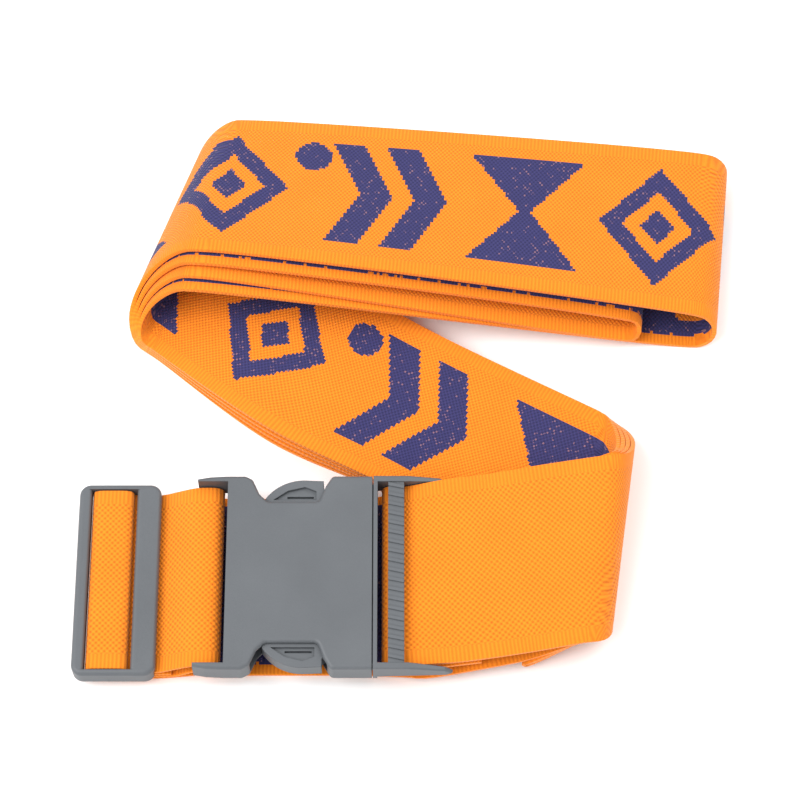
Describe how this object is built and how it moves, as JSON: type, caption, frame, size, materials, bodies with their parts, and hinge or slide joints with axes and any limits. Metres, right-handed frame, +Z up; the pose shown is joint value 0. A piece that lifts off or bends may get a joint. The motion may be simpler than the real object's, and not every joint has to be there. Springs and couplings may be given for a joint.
{
  "type": "luggage strap",
  "caption": "Wide woven luggage strap with a side-release buckle and tri-glide adjuster, buckled into a loop and folded flat into a hank.",
  "frame": {"origin": "middle of the hank's outline, on the surface that it lies on", "axes": "+X along the front run, from the tri-glide towards the buckle's webbing end; +Y from the front run towards the top run; +Z up"},
  "size_m": [0.1777, 0.1624, 0.0246],
  "materials": {
    "webbing": "woven",
    "buckle_plastic": "matte",
    "thread": "matte"
  },
  "bodies": {
    "hank": {"strap_webbing": "webbing", "male_half": "buckle_plastic"},
    "female": {"female_half": "buckle_plastic", "strap_loop": "webbing", "strap_lower_ply": "webbing"},
    "adjuster": {"triglide": "buckle_plastic", "strap_adjuster_wrap": "webbing", "strap_sewn_end": "webbing", "end_stitching": "thread"},
    "arm_far": {"release_arm_far": "buckle_plastic"},
    "arm_near": {"release_arm_near": "buckle_plastic"}
  },
  "joints": [
    {"name": "buckle_release", "type": "slide", "parent": "hank", "child": "female", "axis": [-1, 0, 0], "range_m": [0, 0.04], "deforming": ["release_arm_far", "release_arm_near"]},
    {"name": "triglide_slide", "type": "slide", "parent": "female", "child": "adjuster", "axis": [1, 0, 0], "range_m": [-0.012, 0.008], "deforming": ["strap_loop", "strap_lower_ply"]},
    {"name": "arm_far_squeeze", "type": "hinge", "parent": "hank", "child": "arm_far", "pos_m": [-0.0148, -0.0326, 0.0098], "axis": [0, 0, 1], "range_deg": [0, 6], "stiffness_Nm_per_rad": 2},
    {"name": "arm_near_squeeze", "type": "hinge", "parent": "hank", "child": "arm_near", "pos_m": [-0.0148, -0.0742, 0.0098], "axis": [0, 0, -1], "range_deg": [0, 6], "stiffness_Nm_per_rad": 2}
  ]
}
